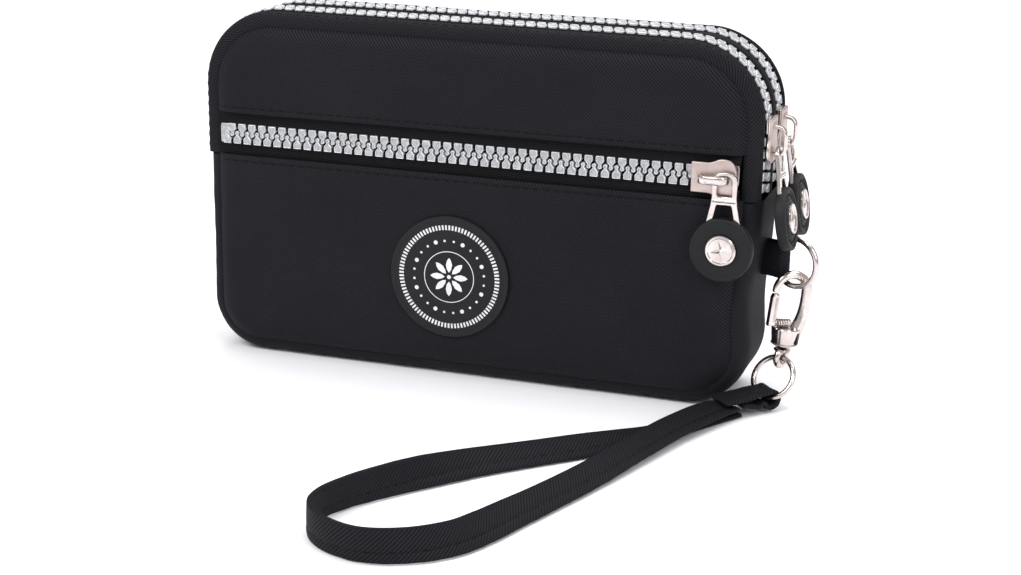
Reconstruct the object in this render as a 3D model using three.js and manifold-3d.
// Zippered nylon pouch with three coarse moulded zips, a badge, a side tab and a wrist strap.
// Millimetres, +Z up. X runs along the width, -Y is the front, and the base rests on Z = 0.
import * as THREE from 'three';
import { mergeVertices } from 'three/addons/utils/BufferGeometryUtils.js';
import Module from 'manifold-3d';

const wasm = await Module();
wasm.setup();

// ---- driving dimensions ----
const SEAM_HALF_WIDTH = 79; // side seams of the front and back panels
const SEAM_BOTTOM = 4;
const SEAM_TOP = 99;
const SEAM_TOP_RADIUS = 18;
const SEAM_BOTTOM_RADII = { left: 12, right: 15 };
const SEAM_HALF_DEPTH = 16.5; // the panel seams lie at y = -16.5 and y = 16.5
const GUSSET_SWELL = 4; // how far the gussets stand outside the seam outline
const FABRIC = 1.2; // thickness of a sewn, lined fabric wall
const LINING = 0.8;
const GAP = 0.3; // clearance between neighbouring pieces
const FRONT_BULGE = 2;
const BACK_BULGE = 1.5;
const BULGE_RISE = 4; // width of the rounded edge of a bulging panel
const SIDE_SEAM_Z = 60; // the zip gussets end here and the lower gusset begins

const TOOTH_PITCH = 3.2;
const TOOTH_LENGTH = 1.35;
const TOOTH_TIP = -0.75; // past the middle of the chain, between the other row's teeth
const TOOTH_ROOT = 1.7;
const CHAIN_HALF_WIDTH = 3;
const CHAIN_HALF_THICKNESS = 1.3;
const POCKET_TAPE_OUTER = 6.8;
const MAIN_TAPE_OUTER = 5.4;
const TAPE_THICKNESS = 0.5;
const PARTING = 1.75; // how far each row stands aside beyond the slider
const WINDOW_HALF_WIDTH = 5.7; // half the gap between the fabric edges over a zip
const STOP_LENGTH = 3;

const POCKET_ZIP_Z = 67;
const POCKET_CHAIN_Y = -16.7;
const POCKET_CHAIN_START = -74;
const POCKET_CHAIN_END = 77.5;
const POCKET_TAPE_HALF = 73.4;
const POCKET_SLIDER_X = 70.8;

const MAIN_ZIP_Y = 7.2; // the two main zips lie at y = -7.2 and y = 7.2
const MAIN_CHAIN_RISE = 2.7; // outside the seam outline
const MAIN_SLIDER_Z = 76.3;

const SLIDER_LENGTH = 12.4;
const SLIDER_NARROW_HALF = 4.2;
const SLIDER_WIDE_HALF = 5.4;
const PLATE_INNER = CHAIN_HALF_THICKNESS + GAP;
const PLATE_OUTER = PLATE_INNER + 1.2;
const FLANGE_REACH = 1; // a flange stands this far from its plate towards the tape
const POST_HALF_WIDTH = 0.7;
const BAIL_LEG = 1.2;
const BAIL_HALF_WIDTH = 1.1;
const BAIL_FIRST_LEG = -3.2; // middle of each bail leg along the slider
const BAIL_LAST_LEG = 3.6;
const BAIL_CLEAR_HEIGHT = 2.3;
const BAIL_BAR = 1.2;

const LINK_THICKNESS = 1.3;
const LINK_PLANE = 4.1; // above the middle of the chain
const LINK_WIRE = 1.4;
const LINK_HOLE_WIDTH = 4.2;
const LINK_HOLE_HEIGHT = 5.6;
const LINK_CROSSBAR = 1.6;
const POCKET_PUCK_DROP = 21.2; // from the link's top wire to the middle of the puck
const SIDE_PUCK_DROP = 19.9;
const PUCK_RADIUS = 8.75;
const PUCK_BACK = -1; // the puck's faces, from the middle of the link
const PUCK_FRONT = 2;
const CAP_RADIUS = 4.3;
const POCKET_LINK_RISE = 2.15; // the top wire rests this far above the bail leg
const SIDE_LINK_OFFSET = 1.75; // the top wire lies this far below the slider's middle
const SIDE_PULL_TILT = 9; // degrees, how far the side pulls lean outwards
const SIDE_PULL_SPLAY = 5.3; // degrees, how far they lean apart

const BADGE_X = -5;
const BADGE_Z = 31;
const BADGE_RADIUS = 18;
const BADGE_THICKNESS = 0.7;

const TAB_TURN = -22.5; // degrees about Z, for the side tab and its ring
const TAB_ORIGIN = new THREE.Vector3(85.1, 0, 41.2); // the ring's wire inside the tab
const TAB_HALF_HEIGHT = 4.7;
const TAB_SLOT = [-1.15, 3.8]; // the slot, measured outwards from the wire
const TAB_SLOT_HALF = 1.5;
const TAB_LAYER = 0.8;
const TAB_RING_RADIUS = 6.8;
const TAB_RING_WIRE = 0.85;

// The hook and its swivel hang from the ring and lean about the strap ring's top.
const HOOK_X = 89.3;
const HOOK_Y = -4.45;
const HOOK_TURN = 35; // degrees about Z
const HOOK_LEAN = 6; // degrees, top outwards
const HOOK_HALF_THICKNESS = 1.1;
const HOOK_ARC_Z = 33.2;
const HOOK_INNER = 3.6;
const HOOK_OUTER = 5.3;
const BARREL_TOP = 22.5;
const BARREL_BOTTOM = 17.4;
const BARREL_RADIUS = 3.8;
const EYE_Z = 13.6;
const EYE_HOLE = 1.75;
const EYE_OUTER = 2.9;
const EYE_HALF_THICKNESS = 1.1;

const STRAP_RING_RADIUS = 6.1;
const STRAP_RING_WIRE = 0.8;
const STRAP_RING_TOP_Z = 13.7;
const STRAP_RING_LEAN = 34.1; // degrees, its foot towards the front
const LOWER_TURN = -22; // degrees about Z, for the swivel and the strap ring
const FOLD_SKEW = -23; // degrees about Z, the fold's further turn on the ring's wire
const STRAP_WIDTH = 8.5;
const STRAP_THICKNESS = 1.2;

const degrees = THREE.MathUtils.degToRad;

// ---- materials ----
const material = (color, roughness, metalness = 0) =>
  new THREE.MeshStandardMaterial({ color, roughness, metalness });
const nylon = () => material(0x17171b, 0.75);
const liningCloth = () => material(0x222226, 0.85);
const tapeCloth = () => material(0x101013, 0.8);
const toothPlastic = () => material(0xb9bcc0, 0.4);
const nickel = () => material(0xd8cfc9, 0.2, 1);
const rubber = () => material(0x1b1b1f, 0.6);

const pouch = new THREE.Group();

function addMesh(parent, name, geometry, finish) {
  const mesh = new THREE.Mesh(geometry, finish);
  mesh.name = name;
  parent.add(mesh);
  return mesh;
}

// ---- joining and cutting ----
function toSolid(geometry) {
  const bare = geometry.clone();
  bare.deleteAttribute('normal');
  bare.deleteAttribute('uv');
  const merged = mergeVertices(bare, 1e-4);
  return new wasm.Manifold(new wasm.Mesh({
    numProp: 3,
    vertProperties: new Float32Array(merged.attributes.position.array),
    triVerts: new Uint32Array(merged.index.array),
  }));
}

function toGeometry(solid) {
  const { vertProperties, triVerts } = solid.getMesh();
  const geometry = new THREE.BufferGeometry();
  geometry.setAttribute('position', new THREE.BufferAttribute(vertProperties, 3));
  geometry.setIndex(new THREE.BufferAttribute(triVerts, 1));
  return geometry;
}

function join(...geometries) {
  return toGeometry(geometries.map(toSolid).reduce((whole, piece) => whole.add(piece)));
}

function cut(geometry, ...tools) {
  return toGeometry(tools.map(toSolid).reduce((left, tool) => left.subtract(tool), toSolid(geometry)));
}

// ---- shape helpers ----
function box(low, high) {
  const size = high.map((value, axis) => value - low[axis]);
  const middle = high.map((value, axis) => (value + low[axis]) / 2);
  return new THREE.BoxGeometry(...size).translate(...middle);
}

// A cylinder along Z from one height to another.
function upright(bottomRadius, topRadius, bottom, top, sides = 20) {
  return new THREE.CylinderGeometry(topRadius, bottomRadius, top - bottom, sides)
    .rotateX(Math.PI / 2)
    .translate(0, 0, (top + bottom) / 2);
}

function extrude(shape, depth, curveSegments = 8) {
  return new THREE.ExtrudeGeometry(shape, { depth, bevelEnabled: false, curveSegments });
}

// A shape drawn in (x, z), extruded from y = near to y = far.
function extrudeAlongY(shape, near, far, curveSegments = 8) {
  return extrude(shape, far - near, curveSegments).rotateX(Math.PI / 2).translate(0, far, 0);
}

function torus(radius, wire, sides = 8, steps = 28) {
  return new THREE.TorusGeometry(radius, wire, sides, steps);
}

// Turns a list of corners and quads into one closed body that faces outwards.
function bodyFrom(corners, triangles) {
  let volume = 0;
  for (const [a, b, c] of triangles) {
    volume += corners[a].dot(corners[b].clone().cross(corners[c]));
  }
  const facing = volume < 0 ? triangles.map(([a, b, c]) => [a, c, b]) : triangles;
  const geometry = new THREE.BufferGeometry();
  geometry.setAttribute(
    'position',
    new THREE.Float32BufferAttribute(corners.flatMap((corner) => corner.toArray()), 3),
  );
  geometry.setIndex(facing.flat());
  geometry.computeVertexNormals();
  return geometry;
}

function quad(triangles, a, b, c, d) {
  triangles.push([a, b, c], [a, c, d]);
}

// Sweeps a closed section along stations. Each station turns a section point into a place.
function sweep(stations, section) {
  const corners = stations.flatMap((station) => section.map((point) => station(...point)));
  const triangles = [];
  const count = section.length;
  for (let i = 0; i + 1 < stations.length; i += 1) {
    for (let j = 0; j < count; j += 1) {
      const next = (j + 1) % count;
      quad(triangles, i * count + j, i * count + next, (i + 1) * count + next, (i + 1) * count + j);
    }
  }
  const flat = section.map(([a, b]) => new THREE.Vector2(a, b));
  const last = (stations.length - 1) * count;
  for (const [a, b, c] of THREE.ShapeUtils.triangulateShape(flat, [])) {
    const turnsWithSection = THREE.ShapeUtils.area([flat[a], flat[b], flat[c]]) * THREE.ShapeUtils.area(flat) > 0;
    const [p, q] = turnsWithSection ? [b, c] : [c, b];
    triangles.push([a, q, p], [last + a, last + p, last + q]);
  }
  return bodyFrom(corners, triangles);
}

// ---- the seam outline, a rounded rectangle in (x, z) ----
function cornerCentre(right, top) {
  const bottomRadius = right ? SEAM_BOTTOM_RADII.right : SEAM_BOTTOM_RADII.left;
  const radius = top ? SEAM_TOP_RADIUS : bottomRadius;
  return {
    x: (right ? 1 : -1) * (SEAM_HALF_WIDTH - radius),
    z: top ? SEAM_TOP - radius : SEAM_BOTTOM + radius,
    radius,
  };
}

// Stations round one corner, each with its place on the outline and its outward direction.
function cornerStations(right, top, from, to, steps) {
  const { x, z, radius } = cornerCentre(right, top);
  return Array.from({ length: steps + 1 }, (_, i) => {
    const angle = degrees(from + ((to - from) * i) / steps);
    const outward = { x: Math.cos(angle), z: Math.sin(angle) };
    return { x: x + radius * outward.x, z: z + radius * outward.z, outward };
  });
}

const sideStation = (sign, z) => ({ x: sign * SEAM_HALF_WIDTH, z, outward: { x: sign, z: 0 } });

function upperStations(steps, endZ) {
  return [
    sideStation(-1, endZ),
    ...cornerStations(false, true, 180, 90, steps),
    ...cornerStations(true, true, 90, 0, steps),
    sideStation(1, endZ),
  ];
}

function lowerStations(steps, endZ) {
  return [
    sideStation(1, endZ),
    ...cornerStations(true, false, 0, -90, steps),
    ...cornerStations(false, false, 270, 180, steps),
    sideStation(-1, endZ),
  ];
}

// A section point is (distance outside the outline, y).
const place = ({ x, z, outward }) => (out, y) =>
  new THREE.Vector3(x + out * outward.x, y, z + out * outward.z);

// How far inside the outline a point lies.
function depthInside(x, z) {
  const upper = z > (SEAM_TOP + SEAM_BOTTOM) / 2;
  const corner = cornerCentre(x > 0, upper);
  const dx = Math.abs(x) - Math.abs(corner.x);
  const dz = upper ? z - corner.z : corner.z - z;
  if (dx > 0 && dz > 0) return corner.radius - Math.hypot(dx, dz);
  return Math.min(SEAM_HALF_WIDTH - Math.abs(x), SEAM_TOP - z, z - SEAM_BOTTOM);
}

const bulgeAt = (x, z, height) =>
  height * Math.sin((Math.PI / 2) * THREE.MathUtils.clamp(depthInside(x, z) / BULGE_RISE, 0, 1));

// The outline between two heights, as a list of (x, z), with its corners where it has them.
function outlineBetween(bottom, top, inset, steps = 6) {
  const points = [];
  const add = (stations) => {
    for (const { x, z, outward } of stations) points.push([x - inset * outward.x, z - inset * outward.z]);
  };
  const cutEdge = (direction, z) => {
    const half = SEAM_HALF_WIDTH - inset;
    const along = [-half, 2 - half, 4 - half, 0, half - 4, half - 2, half];
    for (const x of along) points.push([direction * x, z]);
  };
  if (bottom < SEAM_BOTTOM + SEAM_BOTTOM_RADII.left) {
    add(cornerStations(false, false, 180, 270, steps));
    add(cornerStations(true, false, -90, 0, steps));
  } else {
    cutEdge(1, bottom);
  }
  if (top > SEAM_TOP - SEAM_TOP_RADIUS) {
    add(cornerStations(true, true, 0, 90, steps));
    add(cornerStations(false, true, 90, 180, steps));
  } else {
    cutEdge(-1, top);
  }
  return points;
}

// A sheet over an outline, in rings round its middle: yAt gives its outer face, and side is
// -1 for a sheet that faces the front.
function sheet(outline, yAt, thickness, side) {
  const middle = outline.reduce(([a, b], [x, z]) => [a + x / outline.length, b + z / outline.length], [0, 0]);
  const corners = [];
  const rings = [1, 0.975, 0.94, 0.85];
  const count = outline.length;
  const layer = (inwards) => {
    for (const scale of rings) {
      for (const [x, z] of outline) {
        const px = middle[0] + (x - middle[0]) * scale;
        const pz = middle[1] + (z - middle[1]) * scale;
        corners.push(new THREE.Vector3(px, yAt(px, pz) - side * inwards, pz));
      }
    }
    corners.push(new THREE.Vector3(middle[0], yAt(...middle) - side * inwards, middle[1]));
  };
  layer(0);
  layer(thickness);
  const inner = rings.length * count + 1;
  const triangles = [];
  for (let j = 0; j < count; j += 1) {
    const next = (j + 1) % count;
    for (let i = 0; i + 1 < rings.length; i += 1) {
      const here = i * count;
      quad(triangles, here + j, here + next, here + count + next, here + count + j);
      const there = inner + here;
      quad(triangles, there + j, there + count + j, there + count + next, there + next);
    }
    const core = (rings.length - 1) * count;
    triangles.push([core + j, core + next, inner - 1]);
    triangles.push([inner + core + next, inner + core + j, 2 * inner - 1]);
    quad(triangles, j, inner + j, inner + next, next);
  }
  return bodyFrom(corners, triangles);
}

const flatSheet = (inset, y) => {
  const outline = outlineBetween(SEAM_BOTTOM, SEAM_TOP, inset);
  const shape = new THREE.Shape(outline.map(([x, z]) => new THREE.Vector2(x, z)));
  return extrudeAlongY(shape, y, y + LINING);
};

// ---- outer shell ----
const frontY = (x, z) => -SEAM_HALF_DEPTH - bulgeAt(x, z, FRONT_BULGE);
const backY = (x, z) => SEAM_HALF_DEPTH + bulgeAt(x, z, BACK_BULGE);
const PANEL_INSET = 0.4;

function addPanels() {
  const upper = outlineBetween(POCKET_ZIP_Z + WINDOW_HALF_WIDTH, SEAM_TOP, PANEL_INSET);
  const lower = outlineBetween(SEAM_BOTTOM, POCKET_ZIP_Z - WINDOW_HALF_WIDTH, PANEL_INSET);
  const back = outlineBetween(SEAM_BOTTOM, SEAM_TOP, PANEL_INSET);
  addMesh(pouch, 'front_panel_upper', sheet(upper, frontY, FABRIC, -1), nylon());
  addMesh(pouch, 'front_panel_lower', sheet(lower, frontY, FABRIC, -1), nylon());
  addMesh(pouch, 'back_panel', sheet(back, backY, FABRIC, 1), nylon());
}

function addGussets() {
  const half = SEAM_HALF_DEPTH;
  const swell = GUSSET_SWELL;
  const thin = swell - FABRIC;
  const wall = [
    [0, -half], [2.2, -15.2], [3.6, -12.8], [swell, -10],
    [swell, 10], [3.6, 12.8], [2.2, 15.2], [0, half],
    [0, half - 1.5], [1.4, 14.1], [2.5, 12.1], [thin, 9.7],
    [thin, -9.7], [2.5, -12.1], [1.4, -14.1], [0, 1.5 - half],
  ];
  addMesh(pouch, 'lower_gusset', sweep(lowerStations(8, SIDE_SEAM_Z).map(place), wall), nylon());

  const edge = MAIN_ZIP_Y + WINDOW_HALF_WIDTH;
  const rim = [
    [swell, edge], [swell, 14.3], [3.2, 15.8], [1.6, half], [0, half],
    [0, half - FABRIC], [1.2, half - FABRIC], [2.3, 14.6], [thin, 13.9], [thin, edge],
  ];
  const endZ = SIDE_SEAM_Z + PANEL_INSET;
  const around = upperStations(8, endZ).map(place);
  addMesh(pouch, 'rear_zip_band', sweep(around, rim), nylon());
  addMesh(pouch, 'front_zip_band', sweep(around, rim.map(([out, y]) => [out, -y])), nylon());
  const ridge = MAIN_ZIP_Y - WINDOW_HALF_WIDTH;
  const strip = [[thin, -ridge], [swell, -ridge], [swell, ridge], [thin, ridge]];
  addMesh(pouch, 'middle_zip_band', sweep(around, strip), nylon());
}

function addLinings() {
  addMesh(pouch, 'front_pocket_lining', flatSheet(1.2, -12.2), liningCloth());
  addMesh(pouch, 'front_compartment_lining', flatSheet(1.2, -11.1), liningCloth());
  addMesh(pouch, 'centre_divider', flatSheet(-1.2, -LINING / 2), liningCloth());
  addMesh(pouch, 'rear_compartment_lining', flatSheet(1.2, 14), liningCloth());
}

// ---- zips ----
// A zip is described by where(along, across, outwards), so one set of builders serves all three.
const pocketChain = (along, across, out) =>
  new THREE.Vector3(along, POCKET_CHAIN_Y - out, POCKET_ZIP_Z + across);

// Length along the main chain: from the left side seam, over the top, to the right side seam.
const SIDE_RUN = SEAM_TOP - SEAM_TOP_RADIUS - SIDE_SEAM_Z;
const CORNER_RUN = (Math.PI / 2) * (SEAM_TOP_RADIUS + MAIN_CHAIN_RISE);
const TOP_RUN = 2 * (SEAM_HALF_WIDTH - SEAM_TOP_RADIUS);
const MAIN_RUN = 2 * SIDE_RUN + 2 * CORNER_RUN + TOP_RUN;
const MAIN_CHAIN_START = 1 + STOP_LENGTH + GAP;
const MAIN_CHAIN_END = MAIN_RUN - 1;

function mainStation(along) {
  if (along > MAIN_RUN / 2) {
    const { x, z, outward } = mainStation(MAIN_RUN - along);
    return { x: -x, z, outward: { x: -outward.x, z: outward.z } };
  }
  if (along < SIDE_RUN) return sideStation(-1, SIDE_SEAM_Z + along);
  if (along < SIDE_RUN + CORNER_RUN) {
    const turned = (90 * (along - SIDE_RUN)) / CORNER_RUN;
    return cornerStations(false, true, 180 - turned, 180 - turned, 1)[0];
  }
  const x = along - SIDE_RUN - CORNER_RUN - TOP_RUN / 2;
  return { x, z: SEAM_TOP, outward: { x: 0, z: 1 } };
}

const mainChain = (zipY) => (along, across, out) =>
  place(mainStation(along))(MAIN_CHAIN_RISE + out, zipY + across);

// Beyond the slider's middle the two rows part.
const partingAt = (along, sliderAt) => PARTING * THREE.MathUtils.smoothstep(along, sliderAt - 3, sliderAt + 3.2);

// One row of teeth on its cord, as one closed body. side is 1 or -1 across the chain.
function toothRow(where, from, to, sliderAt, side) {
  const corners = [];
  const triangles = [];
  const phase = side > 0 ? 0 : 0.5;
  const marks = [from];
  for (let k = Math.ceil(from / TOOTH_PITCH - phase) + 1; ; k += 1) {
    const middle = (k + phase) * TOOTH_PITCH;
    if (middle + TOOTH_LENGTH / 2 > to) break;
    marks.push(middle - TOOTH_LENGTH / 2, middle + TOOTH_LENGTH / 2);
  }
  marks.push(to);
  const across = [CHAIN_HALF_WIDTH, TOOTH_ROOT, TOOTH_TIP];
  for (const along of marks) {
    const aside = partingAt(along, sliderAt);
    for (const reach of across) {
      for (const out of [-CHAIN_HALF_THICKNESS, CHAIN_HALF_THICKNESS]) {
        corners.push(where(along, side * (reach + aside), out));
      }
    }
  }
  // Corners of one station: 0, 1 back edge; 2, 3 root; 4, 5 tip.
  marks.slice(1).forEach((_, i) => {
    const here = 6 * i;
    const next = here + 6;
    const isTooth = i % 2 === 1;
    quad(triangles, here, here + 1, next + 1, next);
    quad(triangles, here + 1, here + 3, next + 3, next + 1);
    quad(triangles, here + 2, here, next, next + 2);
    if (isTooth) {
      quad(triangles, here + 3, here + 5, next + 5, next + 3);
      quad(triangles, here + 4, here + 2, next + 2, next + 4);
      quad(triangles, here + 5, here + 4, next + 4, next + 5);
      quad(triangles, here + 2, here + 4, here + 5, here + 3);
      quad(triangles, next + 4, next + 2, next + 3, next + 5);
    } else {
      quad(triangles, here + 3, here + 2, next + 2, next + 3);
    }
  });
  const end = 6 * (marks.length - 1);
  quad(triangles, 0, 2, 3, 1);
  quad(triangles, end, end + 1, end + 3, end + 2);
  return bodyFrom(compact(corners, triangles), triangles);
}

// Drops the corners that no triangle uses and renumbers the rest.
function compact(corners, triangles) {
  const kept = [];
  const numbers = new Map();
  for (const triangle of triangles) {
    triangle.forEach((corner, i) => {
      if (!numbers.has(corner)) numbers.set(corner, kept.push(corners[corner]) - 1);
      triangle[i] = numbers.get(corner);
    });
  }
  return kept;
}

function tape(where, alongs, sliderAt, side, outer) {
  const stations = alongs.map((along) => (edge, out) => {
    const across = edge ? outer : CHAIN_HALF_WIDTH + GAP + partingAt(along, sliderAt);
    return where(along, side * across, out);
  });
  const half = TAPE_THICKNESS / 2;
  return sweep(stations, [[0, -half], [1, -half], [1, half], [0, half]]);
}

function bottomStop(where, from) {
  const stations = [from, from + STOP_LENGTH].map((along) => (across, out) => where(along, across, out));
  const wide = CHAIN_HALF_WIDTH;
  const thick = CHAIN_HALF_THICKNESS + 0.1;
  return sweep(stations, [[-wide, -thick], [wide, -thick], [wide, thick], [-wide, thick]]);
}

const rangeOf = (from, to, steps) =>
  Array.from({ length: steps + 1 }, (_, i) => from + ((to - from) * i) / steps);

function addPocketZip() {
  const { add, alongs } = {
    add: (name, geometry, finish) => addMesh(pouch, `pocket_zip_${name}`, geometry, finish),
    alongs: [-POCKET_TAPE_HALF, ...rangeOf(POCKET_SLIDER_X - 3, POCKET_TAPE_HALF, 4)],
  };
  for (const [label, side] of [['upper', 1], ['lower', -1]]) {
    const row = toothRow(pocketChain, POCKET_CHAIN_START, POCKET_CHAIN_END, POCKET_SLIDER_X, side);
    add(`teeth_${label}`, row, toothPlastic());
    add(`tape_${label}`, tape(pocketChain, alongs, POCKET_SLIDER_X, side, POCKET_TAPE_OUTER), tapeCloth());
  }
  add('stop', bottomStop(pocketChain, POCKET_CHAIN_START - GAP - STOP_LENGTH), toothPlastic());
}

function addMainZip(zip, zipY) {
  const chain = mainChain(zipY);
  const sliderAt = MAIN_RUN - (MAIN_SLIDER_Z - SIDE_SEAM_Z);
  const firstCorner = SIDE_RUN;
  const secondCorner = MAIN_RUN - SIDE_RUN - CORNER_RUN;
  const alongs = [
    1,
    ...rangeOf(firstCorner, firstCorner + CORNER_RUN, 8),
    ...rangeOf(secondCorner, secondCorner + CORNER_RUN, 8),
    ...rangeOf(sliderAt - 3, sliderAt + 3.2, 4),
    MAIN_CHAIN_END,
  ];
  for (const [label, side] of [['front', -1], ['rear', 1]]) {
    const row = toothRow(chain, MAIN_CHAIN_START, MAIN_CHAIN_END, sliderAt, side);
    addMesh(pouch, `${zip}_zip_teeth_${label}`, row, toothPlastic());
    addMesh(pouch, `${zip}_zip_tape_${label}`, tape(chain, alongs, sliderAt, side, MAIN_TAPE_OUTER), tapeCloth());
  }
  addMesh(pouch, `${zip}_zip_stop`, bottomStop(chain, 1), toothPlastic());
}

// ---- sliders and pulls ----
// Slider frame: +X towards the parted end, Y across the chain, +Z outwards, origin in the chain.
function sliderPlate(low, high) {
  const half = SLIDER_LENGTH / 2;
  const outline = new THREE.Shape();
  outline.moveTo(-half, -SLIDER_NARROW_HALF);
  outline.lineTo(-1.5, -SLIDER_NARROW_HALF);
  outline.bezierCurveTo(0.5, -SLIDER_NARROW_HALF, 1, -SLIDER_WIDE_HALF, 3, -SLIDER_WIDE_HALF);
  outline.quadraticCurveTo(half, -SLIDER_WIDE_HALF, half, -2);
  outline.lineTo(half, 2);
  outline.quadraticCurveTo(half, SLIDER_WIDE_HALF, 3, SLIDER_WIDE_HALF);
  outline.bezierCurveTo(1, SLIDER_WIDE_HALF, 0.5, SLIDER_NARROW_HALF, -1.5, SLIDER_NARROW_HALF);
  outline.lineTo(-half, SLIDER_NARROW_HALF);
  return extrude(outline, high - low, 5).translate(0, 0, low);
}

function sliderBody() {
  const half = SLIDER_LENGTH / 2;
  const inner = CHAIN_HALF_WIDTH + GAP;
  const lap = 0.1; // joined pieces overlap by this much
  const pieces = [sliderPlate(PLATE_INNER, PLATE_OUTER), sliderPlate(-PLATE_OUTER, -PLATE_INNER)];
  for (const side of [-1, 1]) {
    const ys = [side * inner, side * SLIDER_NARROW_HALF].sort((a, b) => a - b);
    const flange = [PLATE_INNER - FLANGE_REACH, PLATE_INNER + lap];
    pieces.push(box([-half, ys[0], flange[0]], [-2.2, ys[1], flange[1]]));
    pieces.push(box([-half, ys[0], -flange[1]], [-2.2, ys[1], -flange[0]]));
  }
  const post = PLATE_INNER + lap;
  pieces.push(box([3.4, -POST_HALF_WIDTH, -post], [half - 0.4, POST_HALF_WIDTH, post]));
  const barBottom = PLATE_OUTER + BAIL_CLEAR_HEIGHT;
  const barTop = barBottom + BAIL_BAR;
  const wide = BAIL_HALF_WIDTH;
  for (const middle of [BAIL_FIRST_LEG, BAIL_LAST_LEG]) {
    const leg = BAIL_LEG / 2;
    pieces.push(box([middle - leg, -wide, PLATE_OUTER - lap], [middle + leg, wide, barBottom + lap]));
  }
  const reach = BAIL_LEG / 2;
  pieces.push(box([BAIL_FIRST_LEG - reach, -wide, barBottom], [BAIL_LAST_LEG + reach, wide, barTop]));
  return join(...pieces);
}

// Link frame: hangs along -Y from its top wire at the origin, thickness along Z.
function linkShape(drop) {
  const half = LINK_HOLE_WIDTH / 2 + LINK_WIRE;
  const holeTop = -LINK_WIRE / 2;
  const holeBottom = holeTop - LINK_HOLE_HEIGHT;
  const barBottom = holeBottom - LINK_CROSSBAR;
  const legEnd = 5.2 - drop;
  const foot = 5.2;
  const top = LINK_WIRE / 2;
  const outline = new THREE.Shape();
  outline.moveTo(-half, barBottom);
  outline.lineTo(-half, -2.2);
  outline.quadraticCurveTo(-half, top, 0, top);
  outline.quadraticCurveTo(half, top, half, -2.2);
  outline.lineTo(half, barBottom);
  outline.lineTo(foot, legEnd);
  outline.lineTo(foot - 1.7, legEnd);
  outline.lineTo(half - 1.6, barBottom);
  outline.lineTo(1.6 - half, barBottom);
  outline.lineTo(1.7 - foot, legEnd);
  outline.lineTo(-foot, legEnd);
  const hole = new THREE.Path();
  const wide = LINK_HOLE_WIDTH / 2;
  hole.moveTo(-wide, holeBottom);
  hole.lineTo(wide, holeBottom);
  hole.lineTo(wide, -2.4);
  hole.quadraticCurveTo(wide, holeTop, 0, holeTop);
  hole.quadraticCurveTo(-wide, holeTop, -wide, -2.4);
  outline.holes.push(hole);
  return outline;
}

const linkBody = (drop) => extrude(linkShape(drop), LINK_THICKNESS, 6).translate(0, 0, -LINK_THICKNESS / 2);

// The rubber puck, with a bore for its cap and a slot for each leg of the link.
function puckBody(drop) {
  const disc = upright(PUCK_RADIUS, PUCK_RADIUS, PUCK_BACK, PUCK_FRONT, 36);
  const bore = upright(CAP_RADIUS + GAP, CAP_RADIUS + GAP, PUCK_BACK - 1, PUCK_FRONT + 1, 24);
  const slots = [-1, 1].map((side) => {
    const ends = [side * 2.6, side * 5.6].sort((a, b) => a - b);
    const depth = LINK_THICKNESS / 2 + GAP;
    return box([ends[0], 4.8, -depth], [ends[1], PUCK_RADIUS + 1, depth]);
  });
  return cut(disc, bore, ...slots).translate(0, -drop, 0);
}

function capBody(drop) {
  const profile = [
    [0, PUCK_BACK - 0.2], [CAP_RADIUS, PUCK_BACK - 0.2], [CAP_RADIUS, PUCK_FRONT],
    [3.2, PUCK_FRONT + 0.5], [1.6, PUCK_FRONT + 0.7], [0, PUCK_FRONT + 0.75],
  ].map(([radius, height]) => new THREE.Vector2(radius, height));
  return new THREE.LatheGeometry(profile, 24).rotateX(Math.PI / 2).translate(0, -drop, 0);
}

function addPull(parent, zip, drop) {
  addMesh(parent, `${zip}_pull_link`, linkBody(drop), nickel());
  addMesh(parent, `${zip}_pull_puck`, puckBody(drop), rubber());
  addMesh(parent, `${zip}_pull_cap`, capBody(drop), nickel());
}

// A group whose own X, Y and Z point along the given directions.
function frameAt(position, xAxis, yAxis, zAxis) {
  const group = new THREE.Group();
  group.matrixAutoUpdate = false;
  const turn = new THREE.Matrix4().makeBasis(
    new THREE.Vector3(...xAxis), new THREE.Vector3(...yAxis), new THREE.Vector3(...zAxis),
  );
  group.matrix.copy(turn.setPosition(...position));
  pouch.add(group);
  return group;
}

function addPocketSlider() {
  const origin = [POCKET_SLIDER_X, POCKET_CHAIN_Y, POCKET_ZIP_Z];
  const slider = frameAt(origin, [1, 0, 0], [0, 0, 1], [0, -1, 0]);
  addMesh(slider, 'pocket_slider', sliderBody(), nickel());
  const pull = new THREE.Group();
  pull.position.set(BAIL_LAST_LEG, POCKET_LINK_RISE, LINK_PLANE);
  slider.add(pull);
  addPull(pull, 'pocket', POCKET_PUCK_DROP);
}

function addMainSlider(zip, zipY) {
  const origin = [SEAM_HALF_WIDTH + MAIN_CHAIN_RISE, zipY, MAIN_SLIDER_Z];
  const slider = frameAt(origin, [0, 0, -1], [0, 1, 0], [1, 0, 0]);
  addMesh(slider, `${zip}_slider`, sliderBody(), nickel());
  const pull = frameAt(
    [origin[0] + LINK_PLANE, zipY, MAIN_SLIDER_Z - SIDE_LINK_OFFSET], [0, 1, 0], [0, 0, 1], [1, 0, 0],
  );
  const lean = new THREE.Group();
  lean.rotation.set(degrees(-SIDE_PULL_TILT), 0, degrees(Math.sign(zipY) * SIDE_PULL_SPLAY));
  pull.add(lean);
  addPull(lean, zip, SIDE_PUCK_DROP);
}

// ---- badge ----
function addBadge() {
  const y = -SEAM_HALF_DEPTH - FRONT_BULGE - 0.25;
  const disc = upright(BADGE_RADIUS, BADGE_RADIUS, 0, BADGE_THICKNESS, 48).rotateX(Math.PI / 2);
  addMesh(pouch, 'badge_patch', disc.translate(BADGE_X, y, BADGE_Z), rubber());
}

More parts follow.
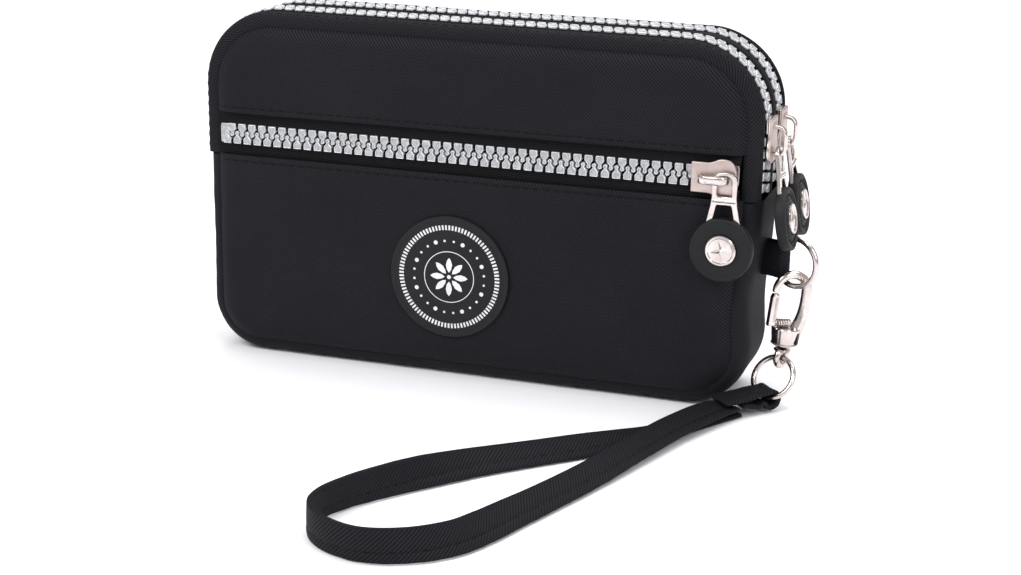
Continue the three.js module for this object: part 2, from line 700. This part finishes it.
// ---- side tab, rings and snap hook ----
// The tab is a loop of fabric sewn in the side seam; the ring's wire runs up through it.
function addTab() {
  const [slotStart, slotEnd] = TAB_SLOT;
  const outer = TAB_SLOT_HALF + TAB_LAYER;
  const loop = (start, end, half) => {
    const shape = new THREE.Shape();
    shape.moveTo(start, -half);
    shape.lineTo(end - half, -half);
    shape.absarc(end - half, 0, half, -Math.PI / 2, Math.PI / 2, false);
    shape.lineTo(start, half);
    return shape;
  };
  const height = 2 * TAB_HALF_HEIGHT;
  const solid = extrude(loop(-5, slotEnd + TAB_LAYER, outer), height);
  const slot = extrude(loop(slotStart, slotEnd, TAB_SLOT_HALF), height + 2).translate(0, 0, -1);
  const placed = (geometry) => geometry
    .translate(0, 0, -TAB_HALF_HEIGHT)
    .rotateZ(degrees(TAB_TURN))
    .translate(...TAB_ORIGIN.toArray());
  const seamSide = box([70, -20, 20], [SEAM_HALF_WIDTH + GUSSET_SWELL + GAP, 20, 60]);
  addMesh(pouch, 'side_tab', cut(placed(solid), placed(slot), seamSide), nylon());
}

function addTabRing() {
  const ring = torus(TAB_RING_RADIUS, TAB_RING_WIRE)
    .rotateX(Math.PI / 2)
    .translate(TAB_RING_RADIUS, 0, 0)
    .rotateZ(degrees(TAB_TURN))
    .translate(...TAB_ORIGIN.toArray());
  addMesh(pouch, 'tab_ring', ring, nickel());
}

// A group at the strap ring's top, leaning with the hook, turned about the hook's own axis.
function hookFrame(turn) {
  const axisFoot = new THREE.Group();
  axisFoot.position.set(HOOK_X, HOOK_Y, STRAP_RING_TOP_Z);
  axisFoot.rotation.set(0, degrees(HOOK_LEAN), degrees(HOOK_TURN), 'ZYX');
  const turned = new THREE.Group();
  turned.rotation.z = degrees(turn - HOOK_TURN);
  const shifted = new THREE.Group();
  shifted.position.z = -STRAP_RING_TOP_Z;
  pouch.add(axisFoot.add(turned.add(shifted)));
  return shifted;
}

function hookBody() {
  const outline = new THREE.Shape();
  outline.moveTo(0.6, BARREL_TOP - 0.6);
  outline.lineTo(3.6, BARREL_TOP - 0.6);
  outline.quadraticCurveTo(HOOK_OUTER, HOOK_ARC_Z - 6, HOOK_OUTER, HOOK_ARC_Z);
  outline.absarc(0, HOOK_ARC_Z, HOOK_OUTER, 0, Math.PI, false);
  outline.lineTo(-HOOK_OUTER, HOOK_ARC_Z - 0.3);
  outline.lineTo(-HOOK_INNER, HOOK_ARC_Z - 0.3);
  outline.lineTo(-HOOK_INNER, HOOK_ARC_Z);
  outline.absarc(0, HOOK_ARC_Z, HOOK_INNER, Math.PI, 0, true);
  outline.quadraticCurveTo(HOOK_INNER, HOOK_ARC_Z - 5, 1.8, BARREL_TOP + 1.2);
  const arm = extrudeAlongY(outline, -HOOK_HALF_THICKNESS, HOOK_HALF_THICKNESS, 10);
  const barrel = upright(3.2, BARREL_RADIUS, BARREL_BOTTOM, BARREL_TOP);
  const bore = upright(1.5, 1.5, BARREL_BOTTOM - 1, BARREL_BOTTOM + 2);
  const chamber = upright(2.3, 2.3, BARREL_BOTTOM + 1.2, BARREL_BOTTOM + 3.4);
  return cut(join(arm, barrel), join(bore, chamber));
}

function addHook() {
  const hook = hookFrame(HOOK_TURN);
  addMesh(hook, 'hook_body', hookBody(), nickel());

  const gate = box([-5.1, -1, BARREL_TOP + 0.4], [-3.7, 1, HOOK_ARC_Z - 0.7]);
  addMesh(hook, 'hook_gate', gate, nickel());

  const turns = 4;
  const coil = new THREE.CatmullRomCurve3(rangeOf(0, turns, turns * 6).map((turn) => new THREE.Vector3(
    -3.1 + (4 * turn) / turns,
    0.75 * Math.cos(2 * Math.PI * turn),
    BARREL_TOP + 1.35 + 0.75 * Math.sin(2 * Math.PI * turn),
  )));
  const wire = new THREE.Shape().absarc(0, 0, 0.2, 0, 2 * Math.PI, false);
  const spring = new THREE.ExtrudeGeometry(wire, {
    steps: turns * 8, extrudePath: coil, curveSegments: 3, bevelEnabled: false,
  });
  addMesh(hook, 'hook_gate_spring', spring, nickel());
}

// The swivel hangs from its head in the barrel, and its eye holds the strap ring.
function addSwivel() {
  const lower = new THREE.Group();
  lower.position.set(HOOK_X, HOOK_Y, 0);
  lower.rotation.z = degrees(LOWER_TURN);
  pouch.add(lower);
  const ring = upright(EYE_OUTER, EYE_OUTER, -EYE_HALF_THICKNESS, EYE_HALF_THICKNESS);
  const hole = upright(EYE_HOLE, EYE_HOLE, -2, 2);
  const eye = cut(ring, hole).rotateY(Math.PI / 2).translate(0, 0, EYE_Z);
  const neck = upright(1.1, 1.1, EYE_Z + 2.2, BARREL_BOTTOM + 1.9, 12);
  const head = upright(1.9, 1.9, BARREL_BOTTOM + 1.6, BARREL_BOTTOM + 3, 12);
  addMesh(hookFrame(LOWER_TURN), 'hook_swivel', join(eye, neck, head), nickel());

  const strapRing = torus(STRAP_RING_RADIUS, STRAP_RING_WIRE)
    .rotateX(Math.PI / 2)
    .translate(0, 0, -STRAP_RING_RADIUS)
    .rotateX(degrees(-STRAP_RING_LEAN))
    .translate(0, 0, STRAP_RING_TOP_Z);
  addMesh(lower, 'strap_ring', strapRing, nickel());
  addStrapFold(lower);
}

// The folded tongue that joins both ends of the strap round the strap ring.
function addStrapFold(lower) {
  const lean = degrees(STRAP_RING_LEAN);
  const wireY = -2 * STRAP_RING_RADIUS * Math.sin(lean);
  const wireZ = STRAP_RING_TOP_Z - 2 * STRAP_RING_RADIUS * Math.cos(lean);
  const outline = new THREE.Shape();
  outline.moveTo(-14, 4);
  outline.lineTo(-14, 5.2);
  outline.lineTo(-7, 5.6);
  outline.absarc(0, wireZ, 3.4, degrees(110), degrees(-200), true);
  outline.lineTo(-6, 4);
  const hole = new THREE.Path();
  hole.absarc(0, wireZ, 2.5, 0, 2 * Math.PI, false);
  outline.holes.push(hole);
  const half = 2.1;
  const tongue = extrude(outline, 2 * half)
    .translate(0, 0, -half)
    .rotateX(Math.PI / 2)
    .rotateZ(Math.PI / 2 + degrees(FOLD_SKEW))
    .translate(0, wireY, 0);
  addMesh(lower, 'strap_end_fold', tongue, nylon());
}

// ---- wrist strap ----
// Each point: x and y of the edge that lies on the table, its height, and the lean in degrees:
// 0 lies flat to the right of the way along, 90 stands on the edge and 180 lies flat to the left.
const STRAP_ROUTE = [
  [82, -21.5, 2.1, 3], [77.5, -31, 2, 12], [71.5, -46, 1.7, 15], [68.5, -56, 1.5, 16],
  [65, -67.5, 1.2, 18], [60.5, -82, 0.6, 21], [54.5, -99.5, 0.3, 25], [49.5, -113.5, 0.2, 33],
  [45, -126, 0.2, 48], [40, -135, 0.2, 64], [31.5, -142, 0.2, 79], [20, -145, 0.2, 88],
  [9, -141, 0.2, 89], [3.5, -134.5, 0.2, 88], [3, -127, 0.2, 88], [6.5, -118, 0.2, 91],
  [14, -107.5, 0.2, 104], [22.5, -97, 0.2, 130], [31, -86.5, 0.2, 146], [41, -76, 0.2, 154],
  [51.5, -65.5, 0.2, 158], [59.5, -56.5, 0.2, 165], [66.5, -47, 0.2, 174], [72.5, -37, 0.2, 180],
  [78, -27.5, 0.2, 180], [82.3, -20.5, 0.2, 180],
];

function addStrap() {
  const spline = (pick) => new THREE.CatmullRomCurve3(STRAP_ROUTE.map(pick), false, 'centripetal');
  const edge = spline(([x, y, z]) => new THREE.Vector3(x, y, z));
  const lean = spline(([, , , angle], i) => new THREE.Vector3(i, angle, 0));
  const steps = 66;
  const stations = rangeOf(0, 1, steps).map((t) => {
    const near = edge.getPoint(t);
    const along = edge.getTangent(t).setZ(0).normalize();
    const aside = new THREE.Vector3(along.y, -along.x, 0);
    const angle = degrees(lean.getPoint(t).y);
    const across = aside.clone().multiplyScalar(Math.cos(angle)).setZ(Math.sin(angle));
    const through = aside.clone().multiplyScalar(-Math.sin(angle)).setZ(Math.cos(angle));
    near.z += STRAP_THICKNESS * Math.max(0, -Math.cos(angle));
    return (wide, thick) => near.clone().addScaledVector(across, wide).addScaledVector(through, thick);
  });
  const section = [[0, 0], [STRAP_WIDTH, 0], [STRAP_WIDTH, STRAP_THICKNESS], [0, STRAP_THICKNESS]];
  addMesh(pouch, 'wrist_strap', sweep(stations, section), nylon());
}

addPanels();
addGussets();
addLinings();
addPocketZip();
addMainZip('front', -MAIN_ZIP_Y);
addMainZip('rear', MAIN_ZIP_Y);
addPocketSlider();
addMainSlider('front', -MAIN_ZIP_Y);
addMainSlider('rear', MAIN_ZIP_Y);
addBadge();
addTab();
addTabRing();
addHook();
addSwivel();
addStrap();

export default pouch;
